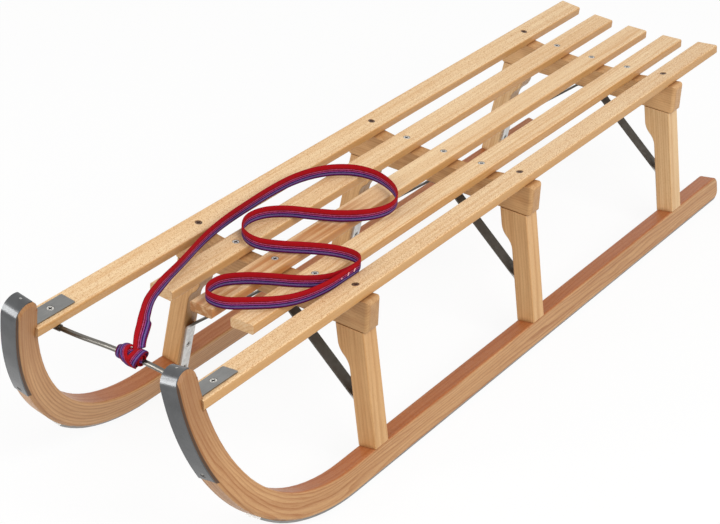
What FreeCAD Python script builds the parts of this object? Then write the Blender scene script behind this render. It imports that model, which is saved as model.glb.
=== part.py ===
import FreeCAD, Part
import math
import os

# Wooden toboggan of the bent-runner type, in millimetres.
# X runs across the sled (+X is the rider's left), the front points to -Y, Z is up.
# The origin lies on the ground, midway along the length and on the centre line.

V = FreeCAD.Vector

# ---- driving dimensions -------------------------------------------------
# runners: one stick each, bent up at the front into a horn
RUNNER_W = 25.0          # thickness across the stick
RUNNER_D = 32.0          # depth of the stick
RUNNER_EDGE_R = 2.8      # rounding of its upper edges
CANT = 10.0              # degrees that the stick leans inwards
RUNNER_FOOT_X = 142.3    # where the inner side meets the level of the shoe's underside
RUNNER_REAR_Y = 595.0
RUNNER_REAR_R = 11.0
NOSE_START_Y = -336.5    # where the straight underside ends
NOSE_FOOT_R = 276.0      # the curl is three bends, each wood underside radius and angle
NOSE_FOOT_ANGLE = 21.4
NOSE_BELLY_R = 232.0
NOSE_BELLY_ANGLE = 30.0
HORN_R = 298.0
HORN_ANGLE = 33.1
HORN_STRAIGHT = 9.0
BEVEL = 4.3              # bevel along the horn's front edges, measured down the side
BEVEL_IN = 2.4           # the same measured across the front
BEVEL_FADE_ANGLE = 28.0  # slope of the curl where the bevel starts to show
BEVEL_FULL_ANGLE = 58.0  # slope of the curl where it is full

# steel strip under the runner and over the horn
SHOE_W = 20.0
SHOE_T = 2.5
SHOE_NOSE_ANGLE = 40.0   # slope of the curl where the shoe ends
SHOE_REAR_WRAP = 70.0    # degrees that it follows the rounded rear end
GROUND_FLAT = 0.6        # ground off the shoe's inner lower edge
SHOE_SCREW_YS = (-225.0, -60.0, 150.0, 320.0, 545.0)
CAP_W = 20.8
CAP_T = 1.5
CAP_LOW_ANGLE = 62.0     # slope of the curl where the cap starts
CAP_TOP_WRAP = 118.0     # degrees that it follows the rounded top
CAP_SCREW_RISE = 8.0     # from the cap's lower end to its screw
CAP_NAIL_D = 3.4
CAP_NAIL_L = 14.0

# slats: half widths count outwards from the centre line
SLAT_W = 32.0
SLAT_T = 12.5
SLAT_EDGE_R = 2.5
SLAT_TAIL = 137.0        # slats reach this far behind the rear crossbeam
INNER_SLAT_LEAD = 134.0  # inner slats reach this far ahead of the front one
HORN_NOTCH = 5.0         # how far an outer slat enters its horn
NOTCH_CLEAR = 0.3
SLAT_X = (0.0, 57.0, 113.0)
SLAT_TOP = (227.5, 229.0, 235.0)
SLAT_TILT = (0.0, 2.5, 6.0)

# crossbeams
BEAM_YS = (-280.0, 76.0, 463.0)
BEAM_D = 25.0
BEAM_OVERHANG = 10.3     # past the seat of an outer slat
BEAM_BOTTOM_Z = 184.5
BEAM_END_R = 5.5
BEAM_EDGE_R = 1.5

# legs
LEG_W = 26.0
LEG_FLARE_LOW_Z = 130.0
LEG_FLARE_TOP_Z = 164.0
LEG_FLARE = 12.8         # how far the head stands out inwards
LEG_EDGE_R = 1.2
TENON_T = 12.0
TENON_W = 18.0
TENON_UP = 27.0
TENON_DOWN = 16.0
JOINT_CLEAR = 0.1

# flat steel braces, one strip under each crossbeam
BRACE_W = 16.0
BRACE_T = 2.5
BRACE_FOOT_S = 15.0      # lower end of the tab, up the canted side
BRACE_BEND_S = 91.0      # bend above the leg screws
BRACE_FLAT_HALF = 13.0
BRACE_BEND_R = 7.0
BRACE_SCREW_S = (25.0, 62.0)
BRACE_CENTRE_SCREW_X = 7.0

# pull rod and its plates
ROD_BACK = 35.5          # from the outer slat's front end to the rod
ROD_R = 3.0
ROD_BOW = 5.2             # the rod's middle is bent back this far
ROD_BOW_X = (76.0, 28.0)  # its bends, from the sled's middle
ROD_BOW_R = 340.0
COLLAR_R = 4.2
COLLAR_IN_X = 99.0
COLLAR_OUT_X = 117.0
PLATE_W = 20.5
PLATE_T = 1.5
PLATE_LENGTH = 59.5
PLATE_BACK = 4.5         # from the outer slat's front end to the plate
PLATE_CORNER_R = 1.2

# screws: head diameter, shank diameter, length
SLAT_SCREW = (9.0, 4.5, 35.0)
PLATE_SCREW = (9.0, 4.0, 24.0)
BRACE_SCREW = (8.0, 4.0, 16.0)
BRACE_TOP_SCREW = (8.0, 4.0, 14.0)
SHOE_SCREW = (7.0, 3.5, 14.0)
CAP_SCREW = (6.5, 3.5, 20.0)
HORN_SCREW = (8.0, 4.5, 60.0)
SCREW_SINK = 0.3         # head below the surface
BORE_CLEAR = 0.08

# webbing pull strap, laid on edge over the slats
STRAP_W = 16.0
STRAP_T = 2.0
STRAP_BOTTOM_Z = 230.2
STRAP_ROUTE = (
    (-5.0, -526.0), (-10.0, -507.0), (-24.0, -480.0), (-42.0, -450.0), (-54.0, -412.0),
    (-65.0, -365.0), (-79.0, -315.0), (-87.0, -270.0), (-90.0, -222.0), (-92.0, -170.0),
    (-89.0, -122.0), (-75.0, -84.0), (-50.0, -59.0), (-18.0, -52.0), (14.0, -63.0),
    (38.0, -83.0), (47.0, -110.0), (39.0, -138.0), (14.0, -165.0), (-16.0, -182.0),
    (-45.0, -197.0), (-64.0, -219.0), (-68.0, -246.0), (-54.0, -271.0), (-26.0, -281.0),
    (2.0, -269.0), (28.0, -251.0), (56.0, -236.0), (82.0, -234.0), (93.5, -249.0),
    (93.0, -274.0), (85.0, -300.0), (64.0, -320.0), (36.0, -335.0), (12.0, -352.0),
    (-3.0, -377.0), (2.0, -404.0), (26.0, -409.0), (50.0, -391.0), (74.0, -369.0),
    (88.0, -344.0), (94.5, -313.0), (95.8, -285.0), (95.9, -262.0))
KNOT_R = 15.0
KNOT_X = (-22.0, 19.0)
KNOT_EDGE_R = 6.0
KNOT_BUMP_R = 12.0
KNOT_BUMP_TOP = 24.0     # height of the bump that the strap leaves from, over the rod

# ---- plane paths: straight runs and tangent arcs ------------------------


def run(length):
    return ("run", length)


def turn(radius, degrees):
    """A positive angle turns left."""
    return ("turn", radius, degrees)


def trace(start, heading, moves, shift=0.0):
    """Edges along the moves, displaced to the left by shift, and the end point."""
    a = math.radians(heading)
    x = start[0] - shift * math.sin(a)
    y = start[1] + shift * math.cos(a)
    edges = []
    for move in moves:
        if move[0] == "run":
            nx = x + move[1] * math.cos(a)
            ny = y + move[1] * math.sin(a)
            edges.append(Part.makeLine(V(x, y, 0), V(nx, ny, 0)))
        else:
            side = math.copysign(1.0, move[2])
            r = move[1] - side * shift
            sweep = math.radians(move[2])
            cx = x - side * r * math.sin(a)
            cy = y + side * r * math.cos(a)
            mx = cx + side * r * math.sin(a + sweep / 2)
            my = cy - side * r * math.cos(a + sweep / 2)
            a += sweep
            nx = cx + side * r * math.sin(a)
            ny = cy - side * r * math.cos(a)
            edges.append(Part.Arc(V(x, y, 0), V(mx, my, 0), V(nx, ny, 0)).toShape())
        x, y = nx, ny
    return edges, (x, y), math.degrees(a)


def edge_start(edge):
    return edge.valueAt(edge.FirstParameter)


def edge_end(edge):
    return edge.valueAt(edge.LastParameter)


def face_of(edges):
    return Part.Face(Part.Wire(Part.__sortEdges__(edges)))


def band(start, heading, moves, left, right):
    """Face between the two shifted copies of a path."""
    a = trace(start, heading, moves, left)[0]
    b = trace(start, heading, moves, right)[0]
    ends = [Part.makeLine(edge_start(a[0]), edge_start(b[0])),
            Part.makeLine(edge_end(a[-1]), edge_end(b[-1]))]
    return face_of(a + b + ends)


def rounded(points, radii):
    """Start, heading and moves for a polyline with rounded inner corners."""
    legs = []
    for p, q in zip(points[:-1], points[1:]):
        legs.append((math.hypot(q[0] - p[0], q[1] - p[1]),
                     math.degrees(math.atan2(q[1] - p[1], q[0] - p[0]))))
    moves = []
    trimmed = 0.0
    for i, r in enumerate(radii):
        bend = (legs[i + 1][1] - legs[i][1] + 180.0) % 360.0 - 180.0
        cut = r * math.tan(math.radians(abs(bend)) / 2)
        moves.append(run(legs[i][0] - trimmed - cut))
        moves.append(turn(r, bend))
        trimmed = cut
    moves.append(run(legs[-1][0] - trimmed))
    return points[0], legs[0][1], moves


# ---- frames -------------------------------------------------------------

CANT_A = math.radians(CANT)
SHOE_IN = (RUNNER_W - SHOE_W) / 2
FOOT = V(RUNNER_FOOT_X, 0, -GROUND_FLAT - SHOE_IN * math.sin(CANT_A))
E_S = V(-math.sin(CANT_A), 0, math.cos(CANT_A))
E_N = V(math.cos(CANT_A), 0, math.sin(CANT_A))
E_Y = V(0, 1, 0)


def frame_matrix(u, v, w, origin):
    m = FreeCAD.Matrix()
    m.A11, m.A12, m.A13, m.A14 = u.x, v.x, w.x, origin.x
    m.A21, m.A22, m.A23, m.A24 = u.y, v.y, w.y, origin.y
    m.A31, m.A32, m.A33, m.A34 = u.z, v.z, w.z, origin.z
    return m


SIDE = frame_matrix(E_Y, E_S, E_N, FOOT)      # (y, up the side, outwards)
UPRIGHT = frame_matrix(V(1, 0, 0), V(0, 0, 1), V(0, -1, 0), V(0, 0, 0))


def placed(shape, matrix):
    out = shape.copy()
    out.Placement = FreeCAD.Placement(matrix).multiply(out.Placement)
    return out


def side_point(y, s, n):
    return FOOT + E_Y * y + E_S * s + E_N * n


def s_at(z, n):
    """Distance up the canted side of a point at height z."""
    return (z - FOOT.z - n * E_N.z) / E_S.z


def mirrored(shape):
    return shape.mirror(V(0, 0, 0), V(1, 0, 0))


def prism(face, y_mid, width):
    """A face drawn in x and z, extruded along Y about y_mid."""
    flat = face.copy()
    flat.translate(V(0, y_mid - width / 2, 0))
    return flat.extrude(V(0, width, 0))


def upright_prism(face, y_mid, width):
    """A face drawn with trace() in x and z, extruded along Y about y_mid."""
    return prism(placed(face, UPRIGHT), y_mid, width)


def on_side(face, n_from, n_to):
    """A face drawn in (y, s), given its thickness across the canted side."""
    flat = face.copy()
    flat.translate(V(0, 0, n_from))
    return placed(flat.extrude(V(0, 0, n_to - n_from)), SIDE)


def side_box(y_mid, half_w, s_low, s_high, n_mid, half_t):
    """A box along the canted side."""
    box = Part.makeBox(2 * half_w, s_high - s_low, 2 * half_t,
                       V(y_mid - half_w, s_low, n_mid - half_t))
    return placed(box, SIDE)


def one_solid(shape):
    return shape.Solids[0] if len(shape.Solids) == 1 else shape


def drilled(shape, bores):
    near = [b for b in bores if b.BoundBox.intersect(shape.BoundBox)]
    return one_solid(shape.cut(near)) if near else one_solid(shape)


# ---- the runner's underside curve, drawn from the rear to the front ------

NOSE_ARCS = ((NOSE_FOOT_R, NOSE_FOOT_ANGLE), (NOSE_BELLY_R, NOSE_BELLY_ANGLE), (HORN_R, HORN_ANGLE))
REAR_START = (RUNNER_REAR_Y - RUNNER_REAR_R, SHOE_T)
STRAIGHT = REAR_START[0] - NOSE_START_Y
CURL_ANGLE = sum(angle for _, angle in NOSE_ARCS)


def curl_moves(slope):
    """Straight underside and the bends up to the given slope."""
    moves = [run(STRAIGHT)]
    left = slope
    for radius, angle in NOSE_ARCS:
        if left > 0:
            moves.append(turn(radius, -min(angle, left)))
        left -= angle
    return moves


def curl_point(slope):
    """Where the wood's underside has the given slope, as (y, s)."""
    return trace(REAR_START, 180.0, curl_moves(slope))[1]


def front_y(s):
    """Front of the horn at a distance s up the side."""
    y, s_end = curl_point(CURL_ANGLE)
    if s > s_end:
        return y - (s - s_end) / math.tan(math.radians(CURL_ANGLE))
    low, high = 0.0, CURL_ANGLE
    while high - low > 0.001:
        mid = (low + high) / 2
        if curl_point(mid)[1] < s:
            low = mid
        else:
            high = mid
    return curl_point(low)[0]


def inward(slope):
    """Direction from the underside into the wood, as (y, s)."""
    t = math.radians(slope)
    return math.sin(t), math.cos(t)


def curl_surface(slope, proud):
    """A point over the underside on the stick's centre line, and the way in."""
    y, s = curl_point(slope)
    dy, ds = inward(slope)
    return side_point(y - dy * proud, s - ds * proud, RUNNER_W / 2), E_Y * dy + E_S * ds


# ---- runners ------------------------------------------------------------


def runner_face():
    moves = curl_moves(CURL_ANGLE) + [run(HORN_STRAIGHT), turn(RUNNER_D / 2, -180.0), run(HORN_STRAIGHT)]
    for radius, angle in reversed(NOSE_ARCS):
        moves.append(turn(radius - RUNNER_D, angle))
    moves.append(run(STRAIGHT))
    moves.append(turn(RUNNER_REAR_R, -90.0))
    moves.append(run(RUNNER_D - 2 * RUNNER_REAR_R))
    moves.append(turn(RUNNER_REAR_R, -90.0))
    return face_of(trace(REAR_START, 180.0, moves)[0])


def bevel_section(centre, direction, r_face, side):
    """Triangle outside the cone that meets the side face at r_face."""
    out = BEVEL + 1.0
    lean = side * BEVEL_IN / BEVEL
    n_face = RUNNER_W if side > 0 else 0.0
    corners = ((r_face - 1.0, n_face + lean), (r_face + out, n_face - lean * out),
               (r_face + out, n_face + lean))
    ring = [V(centre[0] + r * direction[0], centre[1] + r * direction[1], n) for r, n in corners]
    return Part.Face(Part.makePolygon(ring + [ring[0]]))


def bevel_ring(centre, r_face, p_from, p_to, side):
    """Bevel along an arc, from the direction of one point to that of another."""
    a0 = math.degrees(math.atan2(p_from[1] - centre[1], p_from[0] - centre[0]))
    a1 = math.degrees(math.atan2(p_to[1] - centre[1], p_to[0] - centre[0]))
    sweep = (a1 - a0) % 360.0 - 360.0
    rad = math.radians(a0)
    face = bevel_section(centre, (math.cos(rad), math.sin(rad)), r_face, side)
    return face.revolve(V(centre[0], centre[1], 0), V(0, 0, 1), sweep)


def fading_bevel(p_zero, p_full, way_in):
    """Bevel that grows from nothing at one point to its full width at another."""
    dy, ds = p_zero[0] - p_full[0], p_zero[1] - p_full[1]
    along = dy * way_in[0] + ds * way_in[1]
    rho = (dy * dy + ds * ds - BEVEL ** 2) / (2 * (along - BEVEL))
    centre = (p_full[0] + rho * way_in[0], p_full[1] + rho * way_in[1])
    return centre, rho - BEVEL


def bevel_tools(side):
    last_r = NOSE_ARCS[-1][0]
    full = curl_point(BEVEL_FULL_ANGLE)
    zero = curl_point(BEVEL_FADE_ANGLE)
    end = curl_point(CURL_ANGLE)
    centre, r_face = fading_bevel(zero, full, inward(BEVEL_FULL_ANGLE))
    tools = [bevel_ring(centre, r_face, zero, full, side)]
    way = inward(CURL_ANGLE)
    centre = (end[0] + last_r * way[0], end[1] + last_r * way[1])
    tools.append(bevel_ring(centre, last_r - BEVEL, full, end, side))
    climb = (-way[1] * HORN_STRAIGHT, way[0] * HORN_STRAIGHT)
    root = (end[0] + way[0] * BEVEL, end[1] + way[1] * BEVEL)
    strip = bevel_section(root, (-way[0], -way[1]), 0.0, side)
    tools.append(strip.extrude(V(climb[0], climb[1], 0)))
    half = RUNNER_D / 2
    start = (end[0] + climb[0], end[1] + climb[1])
    top = (start[0] + half * way[0], start[1] + half * way[1])
    way_back = inward(CURL_ANGLE + 180.0)
    finish = (top[0] - half * way_back[0], top[1] - half * way_back[1])
    tools.append(bevel_ring(top, half - BEVEL, start, finish, side))
    return tools


def rounded_runner():
    stick = runner_face().extrude(V(0, 0, RUNNER_W))
    upper = []
    for edge in stick.Edges:
        box = edge.BoundBox
        flat = box.ZLength < 1e-6
        inner = math.dist(box_mid(box), UPPER_MID) < 1.0
        if flat and inner:
            upper.append(edge)
    stick = stick.makeFillet(RUNNER_EDGE_R, upper)
    return stick.cut(bevel_tools(1) + bevel_tools(-1))


def box_mid(box):
    return ((box.XMin + box.XMax) / 2, (box.YMin + box.YMax) / 2)


UPPER_MID = ((REAR_START[0] + NOSE_START_Y) / 2, SHOE_T + RUNNER_D)


def runner():
    stick = placed(one_solid(rounded_runner()), SIDE)
    tools = [tenon(y, JOINT_CLEAR) for y in BEAM_YS]
    y_from = outer_slat_front() - NOTCH_CLEAR
    tools.append(slat_bar(2, NOTCH_CLEAR, y_from, y_from + 3 * RUNNER_D))
    return stick.cut(tools)


def shoe():
    a = math.radians(SHOE_REAR_WRAP)
    start = (REAR_START[0] + RUNNER_REAR_R * math.sin(a), REAR_START[1] + RUNNER_REAR_R * (1 - math.cos(a)))
    moves = [turn(RUNNER_REAR_R, -SHOE_REAR_WRAP)] + curl_moves(SHOE_NOSE_ANGLE)
    strip = on_side(band(start, 180.0 + SHOE_REAR_WRAP, moves, 0.0, SHOE_T), SHOE_IN, SHOE_IN + SHOE_W)
    corner = V(0, NOSE_START_Y - STRAIGHT / 2, -RUNNER_D)
    below = Part.makeBox(2 * RUNNER_FOOT_X, 2 * STRAIGHT, RUNNER_D, corner)
    return strip.cut(below)


def horn_cap():
    n_in = (RUNNER_W - CAP_W) / 2
    moves = [turn(NOSE_ARCS[-1][0], CAP_LOW_ANGLE - CURL_ANGLE), run(HORN_STRAIGHT),
             turn(RUNNER_D / 2, -CAP_TOP_WRAP)]
    face = band(curl_point(CAP_LOW_ANGLE), 180.0 - CAP_LOW_ANGLE, moves, 0.0, CAP_T)
    return on_side(face, n_in, n_in + CAP_W)


# ---- slats --------------------------------------------------------------


def slat_axes(i):
    """Top centre, outward and downward directions of slat i, in x and z."""
    tilt = math.radians(SLAT_TILT[i])
    across = V(math.cos(tilt), 0, math.sin(tilt))
    under = V(math.sin(tilt), 0, -math.cos(tilt))
    return V(SLAT_X[i], 0, SLAT_TOP[i]), across, under


def slat_point(i, out, down):
    centre, across, under = slat_axes(i)
    return centre + across * out + under * down


def slat_box(i, half_w, up, down, y_from, y_to):
    """A bar along slat i, from a height over its top to a depth under it."""
    ring = [slat_point(i, x, d) for x, d in ((-half_w, -up), (half_w, -up), (half_w, down), (-half_w, down))]
    for p in ring:
        p.y = y_from
    return Part.Face(Part.makePolygon(ring + [ring[0]])).extrude(V(0, y_to - y_from, 0))


def slat_bar(i, grow, y_from, y_to):
    return slat_box(i, SLAT_W / 2 + grow, grow, SLAT_T + 3 * grow, y_from, y_to)


def outer_slat_front():
    """An outer slat ends inside its horn's rear face."""
    middle = slat_point(2, 0, SLAT_T / 2)
    return front_y(s_at(middle.z, RUNNER_W / 2)) + RUNNER_D / math.sin(math.radians(CURL_ANGLE)) - HORN_NOTCH


def slat(i):
    y_from = outer_slat_front() if i == 2 else BEAM_YS[0] - INNER_SLAT_LEAD
    bar = slat_box(i, SLAT_W / 2, 0.0, SLAT_T, y_from, BEAM_YS[-1] + SLAT_TAIL)
    along = [e for e in bar.Edges if e.BoundBox.YLength > 1.0]
    return bar.makeFillet(SLAT_EDGE_R, along)


# ---- crossbeams and legs ------------------------------------------------


def beam_top():
    """Upper outline of a crossbeam: a seat for each slat."""
    half = []
    for i in (0, 1, 2):
        for side in (-1, 1):
            p = slat_point(i, side * SLAT_W / 2, SLAT_T)
            half.append((p.x, p.z))
    rise = math.tan(math.radians(SLAT_TILT[2]))
    half.append((half[-1][0] + BEAM_OVERHANG, half[-1][1] + rise * BEAM_OVERHANG))
    half = half[1:]
    return [(-x, z) for x, z in reversed(half)] + half


def crossbeam(y_mid):
    upper = beam_top()
    half = upper[-1][0]
    outline = upper + [(half, BEAM_BOTTOM_Z), (-half, BEAM_BOTTOM_Z)]
    ring = [V(x, 0, z) for x, z in outline]
    bar = prism(Part.Face(Part.makePolygon(ring + [ring[0]])), y_mid, BEAM_D)
    ends = [e for e in bar.Edges if e.BoundBox.XLength < 1e-6 and abs(abs(e.BoundBox.XMax) - half) < 1e-6]
    bar = bar.makeFillet(min(BEAM_END_R, 0.9 * BEAM_OVERHANG), ends)
    lower = [e for e in bar.Edges if e.BoundBox.ZMax < BEAM_BOTTOM_Z + 1e-6 and e.BoundBox.XLength > half]
    bar = bar.makeFillet(BEAM_EDGE_R, lower)
    mortises = [tenon(y_mid, JOINT_CLEAR), mirrored(tenon(y_mid, JOINT_CLEAR))]
    return bar.cut(mortises)


def tenon(y_mid, grow):
    """The long core of a leg: its tenon in the runner and its tenon in the beam."""
    s_low = SHOE_T + RUNNER_D - TENON_DOWN - grow
    s_high = s_at(BEAM_BOTTOM_Z + TENON_UP, RUNNER_W / 2) + grow
    return side_box(y_mid, TENON_W / 2 + grow, s_low, s_high, RUNNER_W / 2, TENON_T / 2 + grow)


def leg_point(s, n):
    return side_point(0, s, n)


def leg_flare():
    """The inner side swells to the head in two equal bends."""
    low = s_at(LEG_FLARE_LOW_Z, 0)
    high = s_at(LEG_FLARE_TOP_Z, 0)
    a = 2 * math.atan(LEG_FLARE / (high - low))
    radius = (high - low) / (2 * math.sin(a))
    mid_s = radius * math.sin(a / 2)
    mid_n = radius * (1 - math.cos(a / 2))
    half = leg_point((low + high) / 2, -LEG_FLARE / 2)
    upper = Part.Arc(leg_point(high, -LEG_FLARE), leg_point(high - mid_s, mid_n - LEG_FLARE), half)
    lower = Part.Arc(half, leg_point(low + mid_s, -mid_n), leg_point(low, 0))
    return [upper.toShape(), lower.toShape()]


def leg(y_mid):
    foot_s = SHOE_T + RUNNER_D
    foot_in = leg_point(foot_s, 0)
    foot_out = leg_point(foot_s, RUNNER_W)
    head_out = leg_point(s_at(BEAM_BOTTOM_Z, RUNNER_W), RUNNER_W)
    head_in = leg_point(s_at(BEAM_BOTTOM_Z, -LEG_FLARE), -LEG_FLARE)
    flare = leg_flare()
    edges = [Part.makeLine(foot_in, foot_out), Part.makeLine(foot_out, head_out),
             Part.makeLine(head_out, head_in), Part.makeLine(head_in, edge_start(flare[0]))]
    edges += flare
    edges.append(Part.makeLine(edge_end(flare[1]), foot_in))
    post = prism(face_of(edges), y_mid, LEG_W)
    long_edges = [e for e in post.Edges if e.BoundBox.YLength < 1e-6 and e.BoundBox.ZLength > 6.0]
    post = post.makeFillet(LEG_EDGE_R, long_edges)
    return post.fuse(tenon(y_mid, 0.0)).removeSplitter()


# ---- braces -------------------------------------------------------------


def brace(y_mid):
    foot = side_point(0, BRACE_FOOT_S, 0)
    bend = side_point(0, BRACE_BEND_S, 0)
    half = [(foot.x, foot.z), (bend.x, bend.z), (BRACE_FLAT_HALF, BEAM_BOTTOM_Z)]
    points = half + [(-x, z) for x, z in reversed(half)]
    start, heading, moves = rounded(points, [BRACE_BEND_R] * 4)
    return upright_prism(band(start, heading, moves, 0.0, BRACE_T), y_mid, BRACE_W)


# ---- pull rod and plates ------------------------------------------------


def rod_y():
    return outer_slat_front() + ROD_BACK


def rod_z():
    """The collars hang just under the outer slats."""
    under = slat_point(2, 0, SLAT_T)
    slope = math.tan(math.radians(SLAT_TILT[2]))
    return under.z + (COLLAR_IN_X - under.x) * slope - COLLAR_R - JOINT_CLEAR


def along_rod(radius):
    """A round bar on the rod's line: straight in the collars, bowed back between them."""
    far, near = ROD_BOW_X
    ends, middle = rod_y(), rod_y() + ROD_BOW
    points = ((-COLLAR_OUT_X, ends), (-far, ends), (-near, middle), (near, middle), (far, ends),
              (COLLAR_OUT_X, ends))
    line = Part.Wire(trace(*rounded(points, [ROD_BOW_R] * 4))[0])
    line.translate(V(0, 0, rod_z()))
    rim = Part.Wire(Part.makeCircle(radius, V(-COLLAR_OUT_X, ends, rod_z()), V(1, 0, 0)))
    bar = line.makePipeShell([rim], True, True)
    print("rod volume", round(bar.Volume), "section times length", round(line.Length * math.pi * radius ** 2))
    return bar


def collar():
    length = COLLAR_OUT_X - COLLAR_IN_X
    base = V(COLLAR_IN_X, rod_y(), rod_z())
    tube = Part.makeCylinder(COLLAR_R, length, base, V(1, 0, 0))
    return tube.cut(Part.makeCylinder(ROD_R + BORE_CLEAR, length, base, V(1, 0, 0)))


def slat_plate():
    y_from = outer_slat_front() + PLATE_BACK
    bar = slat_box(2, PLATE_W / 2, PLATE_T, 0.0, y_from, y_from + PLATE_LENGTH)
    corners = [e for e in bar.Edges if abs(e.Length - PLATE_T) < 1e-6]
    return bar.makeFillet(PLATE_CORNER_R, corners)


# ---- fasteners ----------------------------------------------------------


def countersunk(spec, grow):
    """A wood screw standing on its tip, its head's top at the origin."""
    head_r = spec[0] / 2 + grow
    shank_r = spec[1] / 2 + grow
    cone = head_r - shank_r
    tip = spec[1]
    body = Part.makeCone(shank_r, head_r, cone, V(0, 0, -cone))
    body = body.fuse(Part.makeCylinder(shank_r, spec[2] - cone - tip, V(0, 0, tip - spec[2])))
    return body.fuse(Part.makeCone(shank_r / 3, shank_r, tip, V(0, 0, -spec[2])))


def driven(shape, point, way):
    shape.Placement = FreeCAD.Placement(point + way * SCREW_SINK, FreeCAD.Rotation(V(0, 0, -1), way))
    return shape


def screw(spec, point, way):
    slot_l = spec[0] * 0.6
    slot_w = spec[0] * 0.12
    body = countersunk(spec, 0.0)
    for long_x, long_y in ((slot_l, slot_w), (slot_w, slot_l)):
        body = body.cut(Part.makeBox(long_x, long_y, 2.0, V(-long_x / 2, -long_y / 2, -slot_w)))
    return driven(one_solid(body), point, way)


def bore(spec, point, way):
    mouth = Part.makeCylinder(spec[0] / 2 + BORE_CLEAR, 4.0)
    return driven(countersunk(spec, BORE_CLEAR).fuse(mouth), point, way)


def slat_screw_places(y_mid):
    places = []
    for i in (-2, -1, 0, 1, 2):
        centre, _, under = slat_axes(abs(i))
        side = -1.0 if i < 0 else 1.0
        places.append((V(side * centre.x, y_mid, centre.z), V(side * under.x, 0, under.z)))
    return places


def brace_side_places(y_mid):
    return [(side_point(y_mid, s, -BRACE_T), E_N) for s in BRACE_SCREW_S]


def brace_top_places(y_mid):
    z = BEAM_BOTTOM_Z - BRACE_T
    return [(V(x, y_mid, z), V(0, 0, 1)) for x in (-BRACE_CENTRE_SCREW_X, BRACE_CENTRE_SCREW_X)]


def shoe_places():
    places = [(side_point(y, 0, RUNNER_W / 2), E_S) for y in SHOE_SCREW_YS]
    nose = SHOE_NOSE_ANGLE - math.degrees(SHOE_SCREW[0] / NOSE_ARCS[-1][0])
    places.append(curl_surface(nose, SHOE_T))
    return places


def cap_screw_place():
    return curl_surface(CAP_LOW_ANGLE + math.degrees(CAP_SCREW_RISE / NOSE_ARCS[-1][0]), CAP_T)


def cap_nail_place():
    end = curl_point(CURL_ANGLE)
    a = math.radians(CURL_ANGLE)
    half = RUNNER_D / 2
    y = end[0] - HORN_STRAIGHT * math.cos(a) + half * math.sin(a)
    s = end[1] + HORN_STRAIGHT * math.sin(a) + half * math.cos(a) + half + CAP_T
    return side_point(y, s, RUNNER_W / 2), E_S * -1.0


def horn_screw_place():
    middle = slat_point(2, 0, SLAT_T / 2)
    s = s_at(middle.z, RUNNER_W / 2)
    point = side_point(front_y(s), s, RUNNER_W / 2)
    return point + E_Y * HORN_SCREW[1] / 4, E_Y


def plate_screw_place():
    centre, _, under = slat_axes(2)
    return V(centre.x, rod_y(), centre.z) - under * PLATE_T, under


def mirrored_place(place):
    point, way = place
    return V(-point.x, point.y, point.z), V(-way.x, way.y, way.z)


def both_sides(places):
    return places + [mirrored_place(p) for p in places]


# ---- webbing strap and its knot -----------------------------------------


def strap_radii(points):
    """Each bend is as large as its two runs allow."""
    radii = []
    for a, b, c in zip(points[:-2], points[1:-1], points[2:]):
        one = math.atan2(b[1] - a[1], b[0] - a[0])
        two = math.atan2(c[1] - b[1], c[0] - b[0])
        bend = abs((two - one + math.pi) % (2 * math.pi) - math.pi)
        radii.append(0.45 * min(math.dist(a, b), math.dist(b, c)) / math.tan(bend / 2))
    return radii


def strap_length(moves):
    length = 0.0
    for move in moves:
        length += move[1] if move[0] == "run" else move[1] * abs(math.radians(move[2]))
    return length


def strap(knot):
    radii = strap_radii(STRAP_ROUTE)
    start, heading, moves = rounded(STRAP_ROUTE, radii)
    face = band(start, heading, moves, STRAP_T / 2, -STRAP_T / 2)
    face.translate(V(0, 0, STRAP_BOTTOM_Z))
    ribbon = face.extrude(V(0, 0, STRAP_W))
    print("strap bends", [round(r) for r in radii])
    print("strap length", round(strap_length(moves)), "volume", round(ribbon.Volume),
          "section times length", round(strap_length(moves) * STRAP_W * STRAP_T))
    return ribbon.cut(knot)


def strap_knot():
    base = V(KNOT_X[0], rod_y() + ROD_BOW, rod_z())
    width = KNOT_X[1] - KNOT_X[0]
    roll = Part.makeCylinder(KNOT_R, width, base, V(1, 0, 0))
    rims = [e for e in roll.Edges if e.BoundBox.XLength < 1e-6]
    roll = roll.makeFillet(KNOT_EDGE_R, rims)
    bump = Part.makeCylinder(KNOT_BUMP_R, KNOT_BUMP_TOP, V(STRAP_ROUTE[0][0], base.y, base.z))
    bump = bump.makeFillet(KNOT_EDGE_R, [e for e in bump.Edges if e.BoundBox.ZMin > rod_z() + 1])
    return roll.fuse(bump).cut(along_rod(ROD_R + BORE_CLEAR))


# ---- assembly -----------------------------------------------------------

BEAM_NAMES = ("front", "middle", "rear")


def fastener_sets():
    """Node name to its screw size and the places of its screws."""
    sets = {}
    for name, y in zip(BEAM_NAMES, BEAM_YS):
        sets[name + "_slat_screws"] = (SLAT_SCREW, slat_screw_places(y))
        sets[name + "_brace_leg_screws"] = (BRACE_SCREW, both_sides(brace_side_places(y)))
        sets[name + "_brace_top_screws"] = (BRACE_TOP_SCREW, brace_top_places(y))
    sets["shoe_screws"] = (SHOE_SCREW, both_sides(shoe_places()))
    sets["cap_screws"] = (CAP_SCREW, both_sides([cap_screw_place()]))
    sets["horn_screws"] = (HORN_SCREW, both_sides([horn_screw_place()]))
    sets["plate_screws"] = (PLATE_SCREW, both_sides([plate_screw_place()]))
    return sets


def nail(point, way):
    body = Part.makeCylinder(CAP_NAIL_D / 4, CAP_NAIL_L, V(0, 0, -CAP_NAIL_L))
    head = Part.makeCone(CAP_NAIL_D / 4, CAP_NAIL_D / 2, CAP_NAIL_D / 4, V(0, 0, -CAP_NAIL_D / 4))
    return driven(body.fuse(head), point, way)


def nail_bore(point, way):
    return bore((CAP_NAIL_D, CAP_NAIL_D / 2, CAP_NAIL_L + CAP_NAIL_D), point, way)


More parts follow.
